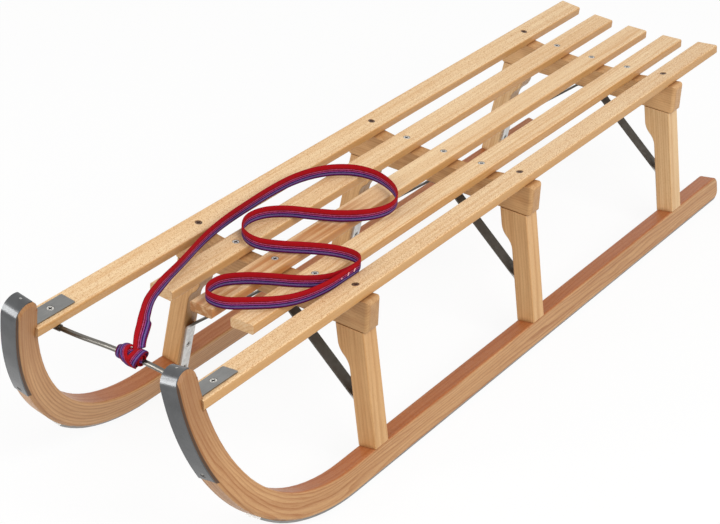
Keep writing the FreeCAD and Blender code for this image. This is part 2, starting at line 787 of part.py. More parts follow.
def build():
    nodes = {}
    bores = []
    cap_bores = []
    for name, (spec, places) in fastener_sets().items():
        nodes[name] = Part.makeCompound([screw(spec, p, w) for p, w in places])
        bores += [bore(spec, p, w) for p, w in places]
        if name == "cap_screws":
            cap_bores += [bore(spec, p, w) for p, w in places]
    nails = both_sides([cap_nail_place()])
    nodes["cap_nails"] = Part.makeCompound([nail(p, w) for p, w in nails])
    bores += [nail_bore(p, w) for p, w in nails]
    cap_bores += [nail_bore(p, w) for p, w in nails]

    for name, y in zip(BEAM_NAMES, BEAM_YS):
        nodes[name + "_crossbeam"] = drilled(crossbeam(y), bores)
        nodes[name + "_brace"] = drilled(brace(y), bores)
        nodes["left_" + name + "_leg"] = drilled(leg(y), bores)
    nodes["middle_slat"] = drilled(slat(0), bores)
    nodes["left_inner_slat"] = drilled(slat(1), bores)
    nodes["left_outer_slat"] = drilled(slat(2), bores)
    nodes["left_runner"] = drilled(runner(), bores)
    nodes["left_runner_shoe"] = drilled(shoe(), bores)
    nodes["left_horn_cap"] = drilled(horn_cap(), cap_bores)   # it hides the horn screw
    nodes["left_slat_plate"] = drilled(slat_plate(), bores)
    nodes["left_rod_collar"] = drilled(collar(), bores)
    for name in [n for n in nodes if n.startswith("left_")]:
        nodes["right_" + name[5:]] = mirrored(nodes[name])
    nodes["pull_rod"] = drilled(along_rod(ROD_R), bores)
    knot = one_solid(strap_knot())
    nodes["strap_knot"] = knot
    nodes["pull_strap"] = one_solid(strap(knot))
    return nodes


os.makedirs("parts", exist_ok=True)
for node, shape in build().items():
    shape.exportStep("parts/" + node + ".step")
    print(node, len(shape.Solids), shape.isValid(), round(shape.Volume))
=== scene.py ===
import math

import bmesh
import bpy
from mathutils import Matrix, Vector

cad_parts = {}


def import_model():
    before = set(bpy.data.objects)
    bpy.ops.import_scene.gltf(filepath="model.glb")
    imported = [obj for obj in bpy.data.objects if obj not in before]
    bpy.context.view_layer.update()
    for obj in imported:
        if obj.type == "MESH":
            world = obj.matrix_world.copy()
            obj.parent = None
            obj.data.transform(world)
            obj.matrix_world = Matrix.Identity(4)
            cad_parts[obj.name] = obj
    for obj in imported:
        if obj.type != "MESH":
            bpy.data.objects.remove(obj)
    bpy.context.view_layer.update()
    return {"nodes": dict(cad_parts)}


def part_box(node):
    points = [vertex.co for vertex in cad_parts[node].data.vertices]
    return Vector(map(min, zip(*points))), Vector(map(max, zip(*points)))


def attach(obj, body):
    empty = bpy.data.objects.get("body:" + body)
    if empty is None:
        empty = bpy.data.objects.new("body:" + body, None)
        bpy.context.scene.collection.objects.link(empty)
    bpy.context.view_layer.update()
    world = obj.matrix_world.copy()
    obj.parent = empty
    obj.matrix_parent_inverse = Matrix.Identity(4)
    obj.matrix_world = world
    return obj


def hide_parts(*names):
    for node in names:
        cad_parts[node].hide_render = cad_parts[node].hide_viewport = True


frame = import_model()

MM = 1000.0                          # in a metre: patterns are laid out in millimetres
SIDES = ("left", "right")
STATIONS = ("front", "middle", "rear")

# ---- the sled's frame, in metres ------------------------------------------------

CANT = math.radians(10.0)            # the runners and legs lean inwards
FOOT = (0.1423, -0.00103)            # x and z where the canted side starts
SHOE_T = 0.0025
NOSE_START_Y = -0.3365               # the runners bend up from here forwards
NOSE_ARCS = ((0.276, 21.4), (0.232, 30.0), (0.298, 33.1))        # radius, and degrees turned

ROD_LO, ROD_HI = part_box("pull_rod")
ROD_R = (ROD_HI.z - ROD_LO.z) / 2
KNOT_Y = ROD_HI.y - ROD_R            # the rod's middle is bowed back
ROD_Z = (ROD_LO.z + ROD_HI.z) / 2

# The strap stands on edge on the slats, and comes up to them from the knot.
STRAP_W = 0.016
STRAP_T = 0.0017
STRAP_Z = 0.2382                     # its middle line, where it stands
STRAP_RISE = ((0.0060, -0.5245, 0.2280), (0.0020, -0.5190, 0.2310), (-0.0045, -0.5085, 0.2350),
              (-0.0140, -0.4920, 0.2375))
STRAP_ROUTE = (
    (-0.0245, -0.4795), (-0.0420, -0.4500), (-0.0540, -0.4120), (-0.0650, -0.3650), (-0.0790, -0.3150),
    (-0.0870, -0.2700), (-0.0900, -0.2220), (-0.0920, -0.1700), (-0.0890, -0.1220), (-0.0750, -0.0840),
    (-0.0500, -0.0590), (-0.0180, -0.0520), (0.0140, -0.0630), (0.0380, -0.0830), (0.0470, -0.1100),
    (0.0390, -0.1380), (0.0140, -0.1650), (-0.0160, -0.1820), (-0.0460, -0.1960), (-0.0665, -0.2170),
    (-0.0715, -0.2460), (-0.0560, -0.2725), (-0.0270, -0.2830), (0.0020, -0.2690), (0.0280, -0.2510),
    (0.0560, -0.2360), (0.0830, -0.2325), (0.0962, -0.2440), (0.0948, -0.2730), (0.0865, -0.2990),
    (0.0640, -0.3200), (0.0360, -0.3350), (0.0110, -0.3520), (-0.0085, -0.3760), (-0.0035, -0.4085),
    (0.0260, -0.4115), (0.0500, -0.3910), (0.0740, -0.3690), (0.0880, -0.3440), (0.0945, -0.3130),
    (0.0961, -0.2850), (0.0961, -0.2500))
# Which way the red edge points, by distance from the knot: across the rod first, then up.
STRAP_TWIST = ((0.0, (-0.92, -0.20, -0.30)), (0.030, (-0.92, -0.10, 0.10)), (0.060, (-0.70, 0.10, 0.70)),
               (0.110, (-0.25, 0.10, 0.96)), (0.160, (0.00, 0.00, 1.00)))

# The strap's turns round the rod, as knot_turn reads them; the last one crosses over the others.
KNOT_TURNS = (
    dict(middle=-0.0128, reach=0.0062, grow=0.0010, lean=0.0006, lean_at=90, first=0, last=380, width=0.0150),
    dict(middle=-0.0005, reach=0.0080, grow=0.0006, lean=-0.0044, lean_at=80, first=-60, last=320,
         width=0.0130, red=-1.0),
    dict(middle=0.0046, reach=0.0098, grow=0.0004, lean=0.0050, lean_at=10, first=-30, last=340,
         sink=-0.0010, width=0.0140, red=-1.0),
    dict(middle=0.0074, reach=0.0054, grow=0.0010, lean=0.0, lean_at=0, first=0, last=370, width=0.0110),
    dict(middle=-0.0010, reach=0.0104, lean=0.0080, lean_at=185, first=-40, last=150, sink=-0.0006,
         width=0.0100))
KNOT_T = 0.0019                      # the band's thickness in the knot
KNOT_RUN = 0.2                       # where along the weave's pattern the knot's turns start
TURN_STEP = 9                        # degrees
TURN_STEPS_MIN = 12
# The tail lies over the knot: its start from the rod's middle, and the step between its points.
TAIL_FROM = (0.0050, -0.0045, 0.0030)
TAIL_STEP = (0.0019, 0.0004, 0.0)
TAIL_EDGE = (0.0, 0.3, 1.0)
TAIL_W = 0.0085

# Bars of thread hold the far end to the strap beside it: their y, and their length as a share.
STITCHES = ((-0.2850, 0.45), (-0.2730, 1.0), (-0.2610, 1.0))
STITCH_X = 0.0973                    # on the strap's outer face
STITCH_DROP = 0.0016                 # a whole bar starts this far below the middle line
STITCH_STEP = (0.0005, 0.0007)       # back and up, between the points of a whole bar
STITCH_EDGE = (0.0, 1.0, -0.6)
STITCH_W = 0.0012
STITCH_T = 0.0009
SHORT_POINTS = 6                     # in the tail and in each bar

# ---- camera -------------------------------------------------------------------------

CAMERA_AZIMUTH = math.radians(33.801)          # from straight ahead towards the left side
CAMERA_ELEVATION = math.radians(29.871)
CAMERA_ROLL = math.radians(2.711)
CAMERA_TARGET = Vector((-0.1476, 0.1163, -0.0086))
CAMERA_DISTANCE = 2.7121
SENSOR_MM = 36.0
LENS_MM = 97.39
CLIP = (0.05, 100.0)


def camera():
    """Seen from the left front and above, with a long lens."""
    level = math.cos(CAMERA_ELEVATION)
    back = Vector((math.sin(CAMERA_AZIMUTH) * level, -math.cos(CAMERA_AZIMUTH) * level,
                   math.sin(CAMERA_ELEVATION)))
    lens = bpy.data.cameras.new("camera")
    lens.sensor_width = SENSOR_MM
    lens.lens = LENS_MM
    lens.clip_start, lens.clip_end = CLIP
    made = bpy.data.objects.new("camera", lens)
    bpy.context.collection.objects.link(made)
    made.location = CAMERA_TARGET + back * CAMERA_DISTANCE
    right = (-back).cross(Vector((0, 0, 1))).normalized()
    up = right.cross(-back)
    turned_right = right * math.cos(CAMERA_ROLL) + up * math.sin(CAMERA_ROLL)
    turned_up = up * math.cos(CAMERA_ROLL) - right * math.sin(CAMERA_ROLL)
    made.rotation_euler = Matrix((turned_right, turned_up, back)).transposed().to_euler()
    bpy.context.scene.camera = made


camera()

# ---- shader graphs ----------------------------------------------------------------


class Graph:
    """A material's node tree, with short calls for the nodes used here."""

    def __init__(self, name):
        self.material = bpy.data.materials.new(name)
        self.material.use_nodes = True
        self.tree = self.material.node_tree
        self.shader = self.tree.nodes["Principled BSDF"]

    def node(self, kind, **settings):
        made = self.tree.nodes.new(kind)
        for key, value in settings.items():
            setattr(made, key, value)
        return made

    def feed(self, socket, value):
        """Link the value, or set it where it is a number or a colour."""
        if isinstance(value, bpy.types.NodeSocket):
            self.tree.links.new(value, socket)
        else:
            socket.default_value = value

    def surface(self, name, value):
        self.feed(self.shader.inputs[name], value)

    def math(self, operation, *values, clamp=False):
        made = self.node("ShaderNodeMath", operation=operation, use_clamp=clamp)
        for socket, value in zip(made.inputs, values):
            self.feed(socket, value)
        return made.outputs[0]

    def plus(self, one, two, clamp=False):
        return self.math("ADD", one, two, clamp=clamp)

    def minus(self, one, two):
        return self.math("SUBTRACT", one, two)

    def times(self, one, two):
        return self.math("MULTIPLY", one, two)

    def length(self, one, two):
        """How far a point is from zero, by its two coordinates."""
        return self.math("SQRT", self.plus(self.times(one, one), self.times(two, two)))

    def vector(self, x, y, z):
        made = self.node("ShaderNodeCombineXYZ")
        for socket, value in zip(made.inputs, (x, y, z)):
            self.feed(socket, value)
        return made.outputs[0]

    def split(self, value):
        made = self.node("ShaderNodeSeparateXYZ")
        self.feed(made.inputs[0], value)
        return made.outputs[0], made.outputs[1], made.outputs[2]

    def noise(self, vector, scale=1.0, detail=2.0, rough=0.5):
        made = self.node("ShaderNodeTexNoise", noise_dimensions="3D")
        self.feed(made.inputs["Vector"], vector)
        made.inputs["Scale"].default_value = scale
        made.inputs["Detail"].default_value = detail
        made.inputs["Roughness"].default_value = rough
        return made.outputs["Fac"]

    def patches(self, vector, scale):
        """Cells with a colour of their own each."""
        made = self.node("ShaderNodeTexVoronoi", voronoi_dimensions="3D", feature="F1")
        self.feed(made.inputs["Vector"], vector)
        made.inputs["Scale"].default_value = scale
        return made.outputs["Color"]

    def ramp(self, value, low, high, out_low=0.0, out_high=1.0):
        """A smooth step from out_low, at low, to out_high, at high."""
        made = self.node("ShaderNodeMapRange", interpolation_type="SMOOTHSTEP")
        self.feed(made.inputs[0], value)
        for socket, number in zip(made.inputs[1:5], (low, high, out_low, out_high)):
            socket.default_value = number
        return made.outputs[0]

    def bands(self, value, colours):
        """Flat bands of colour, each from its place on."""
        made = self.node("ShaderNodeValToRGB")
        made.color_ramp.interpolation = "CONSTANT"
        while len(made.color_ramp.elements) < len(colours):
            made.color_ramp.elements.new(1.0)
        for element, (place, colour) in zip(made.color_ramp.elements, colours):
            element.position = place
            element.color = colour + (1.0,)
        self.feed(made.inputs[0], value)
        return made.outputs[0]

    def mix(self, factor, one, two):
        """Colour one at 0, colour two at 1."""
        made = self.node("ShaderNodeMix", data_type="RGBA")
        self.feed(made.inputs["Factor"], factor)
        for socket, value in ((made.inputs["A"], one), (made.inputs["B"], two)):
            self.feed(socket, value + (1.0,) if isinstance(value, tuple) else value)
        return made.outputs["Result"]

    def blend(self, factor, one, two):
        """Number one at 0, number two at 1."""
        made = self.node("ShaderNodeMix", data_type="FLOAT")
        self.feed(made.inputs["Factor"], factor)
        self.feed(made.inputs["A"], one)
        self.feed(made.inputs["B"], two)
        return made.outputs["Result"]

    def bump(self, height, strength, distance):
        made = self.node("ShaderNodeBump")
        made.inputs["Strength"].default_value = strength
        made.inputs["Distance"].default_value = distance
        self.feed(made.inputs["Height"], height)
        self.surface("Normal", made.outputs[0])

    def place(self):
        """Position in the shared frame, in millimetres."""
        made = self.node("ShaderNodeTexCoord")
        scaled = self.node("ShaderNodeVectorMath", operation="SCALE")
        self.feed(scaled.inputs[0], made.outputs["Object"])
        scaled.inputs["Scale"].default_value = MM
        return scaled.outputs[0]

    def dot(self, axis):
        """How squarely the surface faces a direction, -1 to 1."""
        made = self.node("ShaderNodeNewGeometry")
        dot = self.node("ShaderNodeVectorMath", operation="DOT_PRODUCT")
        self.feed(dot.inputs[0], made.outputs["Normal"])
        dot.inputs[1].default_value = axis
        return dot.outputs["Value"]

    def facing(self, axis):
        """The same for either side, 0 to 1."""
        return self.math("ABSOLUTE", self.dot(axis))

    def occlusion_shade(self, reach):
        """1 in the open, less where another surface is within reach (metres), for painting shade into
        creases.
        """
        made = self.node("ShaderNodeAmbientOcclusion", samples=8)
        made.inputs["Distance"].default_value = reach
        return made.outputs["AO"]


def srgb(red, green, blue):
    """Linear colour from 0 to 255 display values, by the sRGB standard."""
    out = []
    for value in (red, green, blue):
        share = value / 255.0
        out.append(share / 12.92 if share <= 0.04045 else ((share + 0.055) / 1.055) ** 2.4)
    return tuple(out)


def darker(colour, *shares):
    """The colour with its red, green and blue scaled, all alike if one share is given."""
    if len(shares) == 1:
        shares = shares * 3
    return tuple(value * share for value, share in zip(colour, shares))


# ---- webbing pull strap ---------------------------------------------------------------

SPLINE_STEPS = 14                    # between two points of the route
SECTION_COLUMNS = 10                 # faces across each side of the band
SELVEDGE = 0.22                      # the edges' thickness, as a share of the middle's
PATTERN_MM = STRAP_W * MM            # the stripes' pattern is as wide as the strap

# From the red edge to the dark one: where each stripe starts, as a share of the width.
STRIPES = (
    (0.0, srgb(166, 1, 10)), (0.05, srgb(190, 1, 10)), (0.34, srgb(134, 4, 20)), (0.415, srgb(206, 92, 140)),
    (0.475, srgb(112, 4, 34)), (0.555, srgb(178, 84, 168)), (0.615, srgb(46, 22, 88)),
    (0.715, srgb(114, 104, 166)), (0.82, srgb(122, 34, 128)), (0.87, srgb(46, 22, 88)),
    (0.93, srgb(134, 8, 36)))
WEAVE_SHADOW = srgb(58, 10, 34)
WEFT_RATE = 2.9                      # radians a millimetre, along the strap
WARP_RATE = 7.8                      # and across it
FUZZ_RATE = (1.4, 3.2)               # how fine the fuzz is, along and across
WANDER_RATE = 0.5                    # how fast the stripes' borders wander, along
WANDER_MM = 0.22                     # and how far
THREAD_DEEP = srgb(244, 176, 184)
THREAD_PALE = srgb(250, 214, 214)


def strap_line():
    """The points that Blender reads from the strap's own spline."""
    curve = bpy.data.curves.new("strap_line", "CURVE")
    curve.dimensions = "3D"
    curve.resolution_u = SPLINE_STEPS
    spline = curve.splines.new("NURBS")
    route = list(STRAP_RISE) + [(x, y, STRAP_Z) for x, y in STRAP_ROUTE]
    spline.points.add(len(route) - 1)
    for point, place in zip(spline.points, route):
        point.co = place + (1.0,)
    spline.order_u = 3
    spline.use_endpoint_u = True
    holder = bpy.data.objects.new("strap_line", curve)
    bpy.context.collection.objects.link(holder)
    mesh = bpy.data.meshes.new_from_object(holder)
    points = [v.co.copy() for v in mesh.vertices]
    bpy.data.meshes.remove(mesh)
    bpy.data.objects.remove(holder)
    bpy.data.curves.remove(curve)
    return points


def twist_at(distance):
    """Direction of the red edge, blended between the listed stations."""
    for (d0, w0), (d1, w1) in zip(STRAP_TWIST[:-1], STRAP_TWIST[1:]):
        if distance <= d1:
            t = (distance - d0) / (d1 - d0)
            return Vector(w0).lerp(Vector(w1), t * t * (3 - 2 * t))
    return Vector(STRAP_TWIST[-1][1])


def distances(points, start=0.0):
    """How far along the line each point is."""
    run = start
    out = [run]
    for one, two in zip(points[:-1], points[1:]):
        run += (two - one).length
        out.append(run)
    return out


def short_line(start, step):
    """A few evenly spaced points."""
    return [Vector([a + b * i for a, b in zip(start, step)]) for i in range(SHORT_POINTS)]


def ribbon_section(width, thick):
    """Points round a woven band's section (across, out, share of the pattern), with soft selvedges."""
    front = []
    for i in range(SECTION_COLUMNS + 1):
        v = i / SECTION_COLUMNS
        bulge = (1.0 - abs(2 * v - 1) ** 5) ** 0.5
        front.append((width * (0.5 - v), thick / 2 * (SELVEDGE + (1 - SELVEDGE) * bulge), v))
    return front + [(a, -o, v) for a, o, v in reversed(front)]


def ribbon(name, points, edges, width=STRAP_W, thick=STRAP_T, start=0.0):
    """A woven band along the points; edges say which way its red edge points."""
    section = ribbon_section(width, thick)
    mesh = bmesh.new()
    layer = mesh.loops.layers.uv.new("ribbon")
    rings = []
    for i, (run, point, edge) in enumerate(zip(distances(points, start), points, edges)):
        ahead = (points[min(i + 1, len(points) - 1)] - points[max(i - 1, 0)]).normalized()
        across = (edge - ahead * edge.dot(ahead)).normalized()
        out = ahead.cross(across)
        rings.append((run, [mesh.verts.new(point + across * a + out * o) for a, o, _ in section]))

    def face(corners):
        """One face; each corner is a ring and a place in the section."""
        made = mesh.faces.new([ring[n] for (_, ring), n in corners])
        for loop, ((run, _), n) in zip(made.loops, corners):
            loop[layer].uv = (run * MM, section[n][2] * PATTERN_MM)
        return made

    count = len(section)
    for near, far in zip(rings[:-1], rings[1:]):
        for j in range(count):
            k = (j + 1) % count
            face([(near, j), (near, k), (far, k), (far, j)]).smooth = True
    face([(rings[0], n) for n in reversed(range(count))])
    face([(rings[-1], n) for n in range(count)])
    bmesh.ops.recalc_face_normals(mesh, faces=mesh.faces)
    made = bpy.data.meshes.new(name)
    mesh.to_mesh(made)
    mesh.free()
    return made


def joined(name, meshes):
    """One mesh from several, which are removed."""
    mesh = bmesh.new()
    for one in meshes:
        mesh.from_mesh(one)
        bpy.data.meshes.remove(one)
    made = bpy.data.meshes.new(name)
    mesh.to_mesh(made)
    mesh.free()
    return made


def strap_piece(name, mesh, material):
    made = bpy.data.objects.new(name, mesh)
    bpy.context.collection.objects.link(made)
    made.data.materials.append(material)
    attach(made, "root")
    return made


def webbing():
    """Flat woven webbing: lengthwise stripes of warp, weft ribs and a little fuzz."""
    graph = Graph("striped_webbing")
    along, across, _ = graph.split(graph.node("ShaderNodeUVMap", uv_map="ribbon").outputs[0])
    wander = graph.noise(graph.vector(graph.times(along, WANDER_RATE), across, 0.0))
    shifted = graph.plus(across, graph.ramp(wander, 0.3, 0.7, -WANDER_MM, WANDER_MM))
    stripe = graph.bands(graph.math("DIVIDE", shifted, PATTERN_MM), STRIPES)
    weft = graph.math("SINE", graph.times(along, WEFT_RATE))
    warp = graph.math("SINE", graph.times(across, WARP_RATE))
    weave = graph.math("MULTIPLY_ADD", graph.times(weft, warp), 0.5, 0.5)
    hairs = graph.vector(graph.times(along, FUZZ_RATE[0]), graph.times(across, FUZZ_RATE[1]), 0.0)
    fuzz = graph.noise(hairs, detail=3.0, rough=0.7)
    hollow = graph.times(graph.minus(1.0, weave), 0.42)
    shade = graph.plus(hollow, graph.ramp(fuzz, 0.35, 0.75, 0.0, 0.22), clamp=True)
    graph.surface("Base Color", graph.mix(shade, stripe, WEAVE_SHADOW))
    graph.surface("Roughness", graph.ramp(fuzz, 0.3, 0.7, 0.72, 0.92))
    graph.surface("Specular IOR Level", 0.18)
    graph.bump(graph.math("MULTIPLY_ADD", fuzz, 0.4, weave), strength=0.55, distance=0.0004)
    return graph.material


def sewing_thread():
    """Waxed sewing thread in short bars."""
    graph = Graph("sewing_thread")
    twist = graph.noise(graph.place(), scale=1.3)
    graph.surface("Base Color", graph.mix(twist, THREAD_DEEP, THREAD_PALE))
    graph.surface("Roughness", graph.ramp(twist, 0.3, 0.7, 0.55, 0.75))
    graph.bump(twist, strength=0.5, distance=0.0003)
    return graph.material


def knot_turn(middle, reach, lean, lean_at, first, last, width, grow=0.0, sink=0.0, red=1.0):
    """One turn of the strap round the rod, from angle first to angle last, in degrees.

    Angles run from over the rod forwards and down. The turn's radius is reach and grows by grow. It
    leans sideways by lean at the angle lean_at, and is sink lower than the rod. Its red edge points
    to the left if red is 1, and to the right if it is -1.
    """
    points = []
    steps = max(TURN_STEPS_MIN, int(abs(last - first) / TURN_STEP))
    for i in range(steps + 1):
        angle = math.radians(first + (last - first) * i / steps)
        radius = reach + grow * i / steps
        x = middle + lean * math.cos(angle - math.radians(lean_at))
        y = KNOT_Y - radius * math.sin(angle)
        points.append(Vector((x, y, ROD_Z - sink + radius * math.cos(angle))))
    edges = [Vector((red, 0.0, 0.0))] * len(points)
    return ribbon("turn", points, edges, width=width, thick=KNOT_T, start=KNOT_RUN + middle)


def knot_tail():
    """The strap's short end, over the knot."""
    over, ahead, up = TAIL_FROM
    points = short_line((over, KNOT_Y + ahead, ROD_Z + up), TAIL_STEP)
    return ribbon("tail", points, [Vector(TAIL_EDGE)] * SHORT_POINTS, width=TAIL_W)


def stitch(y, share):
    """A bar of thread across the strap's outer face."""
    back, up = STITCH_STEP
    points = short_line((STITCH_X, y, STRAP_Z - share * STITCH_DROP), (0.0, share * back, share * up))
    return ribbon("bar", points, [Vector(STITCH_EDGE)] * SHORT_POINTS, width=STITCH_W, thick=STITCH_T)


def strap_and_knot():
    """The strap, its stitches and its knot."""
    cloth = webbing()
    points = strap_line()
    edges = [twist_at(run) for run in distances(points)]
    strap = strap_piece("strap", ribbon("strap", points, edges), cloth)
    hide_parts("pull_strap")
    turns = [knot_turn(**turn) for turn in KNOT_TURNS] + [knot_tail()]
    bars = [stitch(y, share) for y, share in STITCHES]
    strap_piece("stitches", joined("stitches", bars), sewing_thread())
    knot = strap_piece("knot", joined("knot", turns), cloth)
    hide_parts("strap_knot")


strap_and_knot()

# ---- wood -------------------------------------------------------------------------

RING_MM = 3.4                        # width of a growth ring
SWAY_MM = 26.0                       # range of the rings' sideways sway along a piece
CONTACT_SHADE_REACH = 0.009                 # metres: painted shade darkens the wood where it meets something this near
CURL_HEIGHTS = (110.0, 262.0)        # mm: the curls get duller between these heights
CAP_SHADOW_DEPTH = (2.4, 3.4)          # mm: the painted shadow line beside a cap fades out between these depths
# Each piece has a seed of its own, which shifts its pattern by so many millimetres a seed.
SEED_ALONG = 413.0
SEED_ACROSS = 67.0
SLAT_SEED = 1.0
BEAM_SEED = 11.0
LEG_SEED = 21.0
RUNNER_SEED = 31.0

# Each wood is a pale and a deep colour.
SLAT_WOOD = (srgb(243, 214, 170), srgb(218, 171, 116))
BENT_WOOD = {"left": (srgb(208, 162, 112), srgb(164, 108, 60)),
             "right": (srgb(221, 175, 123), srgb(178, 122, 72))}
POST_WOOD = {"front": (srgb(218, 174, 120), srgb(188, 135, 80)),
             "middle": (srgb(227, 184, 130), srgb(196, 144, 90)),
             "rear": (srgb(238, 203, 154), srgb(208, 160, 106))}
BEAM_WOOD = {"front": (srgb(206, 164, 114), srgb(176, 128, 80)),
             "middle": (srgb(214, 170, 118), srgb(184, 134, 82)),
             "rear": (srgb(226, 184, 132), srgb(196, 146, 94))}
SLAT_SIDE_SHADE = srgb(183, 126, 50)       # painted shade on the slats' side faces, mixed in by this much
SLAT_SIDE_SHADING = 0.66
FLAME = srgb(182, 118, 62)           # a stained stretch of one slat
BENT_TOP_SHADE = srgb(168, 86, 38)         # painted shade on the runners' upper faces, which lie under the seat
BENT_CURL = srgb(142, 96, 58)        # the curls, more so towards their tops
CAP_SHADOW = srgb(52, 34, 22)          # painted shadow beside the caps

# Hearts are the middle of the growth rings, as (across, depth) in the grain's coordinates and in
# millimetres. For slats, beams and legs, across is from the middle of the piece or its crossbeam.
SLAT_HEARTS = {"right_outer_slat": (-44.0, 165.0), "right_inner_slat": (30.0, 187.0),
               "middle_slat": (-12.0, 331.0), "left_inner_slat": (52.0, 173.0),
               "left_outer_slat": (-30.0, 145.0)}
BEAM_HEARTS = {"front": (40.0, 140.0), "middle": (9.0, 140.0), "rear": (-22.0, 140.0)}
LEG_HEARTS = {"front": (28.0, -40.0), "middle": (19.0, -40.0), "rear": (10.0, -40.0)}
RUNNER_HEART = (-30.0, -36.0)
# How strong a slat's rings are, how few its flecks, and between which places (mm) it turns stained.
SLAT_LOOKS = {"right_outer_slat": dict(figure=0.7, flecked=0.56),
              "right_inner_slat": dict(figure=0.8, flecked=0.57),
              "middle_slat": dict(figure=1.2, flecked=0.60, darkened=(-40.0, -150.0)),
              "left_inner_slat": dict(figure=1.5, flecked=0.58),
              "left_outer_slat": dict(figure=0.6, flecked=0.535)}


def straight_grain(axes):
    """Grain coordinates (along, across, depth) for a straight stick."""
    def coordinates(graph):
        parts = graph.split(graph.place())
        return tuple(parts["xyz".index(a)] for a in axes)
    return coordinates


def canted(graph):
    """Millimetres (y, up the canted side, out across it), the same on both sides."""
    x, y, z = graph.split(graph.place())
    out = graph.minus(graph.math("ABSOLUTE", x), FOOT[0] * MM)
    up = graph.minus(z, FOOT[1] * MM)
    side_up = graph.minus(graph.times(up, math.cos(CANT)), graph.times(out, math.sin(CANT)))
    side_out = graph.plus(graph.times(up, math.sin(CANT)), graph.times(out, math.cos(CANT)))
    return y, side_up, side_out


def leg_grain(graph):
    y, up, out = canted(graph)
    return up, y, out


def curl_grain(graph):
    """Grain that follows the bent stick: (along, across, depth into the curl)."""
    y, up, out = canted(graph)
    start_y, start_up = NOSE_START_Y * MM, SHOE_T * MM
    along = graph.minus(start_y, y)
    depth = graph.minus(up, start_up)
    slope = 0.0
    travelled = 0.0
    passed = graph.math("LESS_THAN", y, start_y)
    for radius_m, degrees in NOSE_ARCS:
        radius = radius_m * MM
        centre_y = start_y + radius * math.sin(slope)
        centre_up = start_up + radius * math.cos(slope)
        ahead = graph.minus(centre_y, y)
        below = graph.minus(centre_up, up)
        angle = graph.math("ARCTAN2", ahead, below)
        arc_along = graph.math("MULTIPLY_ADD", graph.minus(angle, slope), radius, travelled)
        arc_depth = graph.minus(radius, graph.length(ahead, below))
        along = graph.blend(passed, along, arc_along)
        depth = graph.blend(passed, depth, arc_depth)
        sweep = math.radians(degrees)
        travelled += radius * sweep
        slope += sweep
        start_y = centre_y - radius * math.sin(slope)
        start_up = centre_up - radius * math.cos(slope)
        passed = graph.times(passed, graph.math("GREATER_THAN", angle, slope))
    forward = graph.minus(start_y, y)
    upward = graph.minus(up, start_up)
    horn_along = graph.plus(graph.math("MULTIPLY_ADD", forward, math.cos(slope), travelled),
                            graph.times(upward, math.sin(slope)))
    horn_depth = graph.minus(graph.times(upward, math.cos(slope)), graph.times(forward, math.sin(slope)))
    return graph.blend(passed, along, horn_along), out, graph.blend(passed, depth, horn_depth)


def late_wood(graph, across, depth, sway, heart):
    """1 in the dark late wood of each growth ring round the heart, 0 in the early wood."""
    from_heart = graph.plus(graph.minus(across, heart[0]), sway)
    ring = graph.math("DIVIDE", graph.length(from_heart, graph.minus(depth, heart[1])), RING_MM)
    ring = graph.math("FRACT", ring)
    return graph.times(graph.ramp(ring, 0.35, 0.93), graph.ramp(ring, 1.0, 0.95))


def side_shade(graph, colour, strength):
    """Painted shade on the side faces of a slat, darker and more yellow."""
    side = graph.ramp(graph.facing((1, 0, 0)), 0.6, 0.95, 0.0, strength)
    return graph.mix(side, colour, SLAT_SIDE_SHADE)


def flame(graph, colour, streak, along, stretch):
    """Stained streaks, from the stretch's first place (mm) to full strength at its second."""
    patch = graph.times(graph.ramp(streak, 0.36, 0.56, 0.35, 1.0), graph.ramp(along, *stretch))
    return graph.mix(graph.times(patch, 0.90), colour, FLAME)


def bent_tone(graph, colour, depth):
    """A bent runner: painted shade on its upper faces, duller up the curl, and a painted shadow line beside
    the cap.
    """
    # Painted shade: faces turned upwards are darkened and reddened, as under the seat.
    up = graph.ramp(graph.dot((0.0, 0.0, 1.0)), 0.55, 0.95)
    colour = graph.mix(graph.times(up, 0.68), colour, BENT_TOP_SHADE)
    height = graph.split(graph.place())[2]
    colour = graph.mix(graph.ramp(height, *CURL_HEIGHTS, 0.0, 0.62), colour, BENT_CURL)
    # Painted shadow: a dark line on the wood along the edge of the cap.
    capped = graph.math("GREATER_THAN", height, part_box("left_horn_cap")[0].z * MM)
    line = graph.times(graph.ramp(depth, *CAP_SHADOW_DEPTH, 0.88, 0.0), capped)
    return graph.mix(line, colour, CAP_SHADOW)


def end_grain(graph, colour, axis, dark):
    """Sawn ends that face along the axis, darker in spots."""
    ends = graph.ramp(graph.facing(axis), 0.80, 0.95)
    spots = graph.ramp(graph.noise(graph.place(), scale=2.2), 0.35, 0.7, 0.10, 0.42)
    return graph.mix(graph.times(ends, spots), colour, dark)


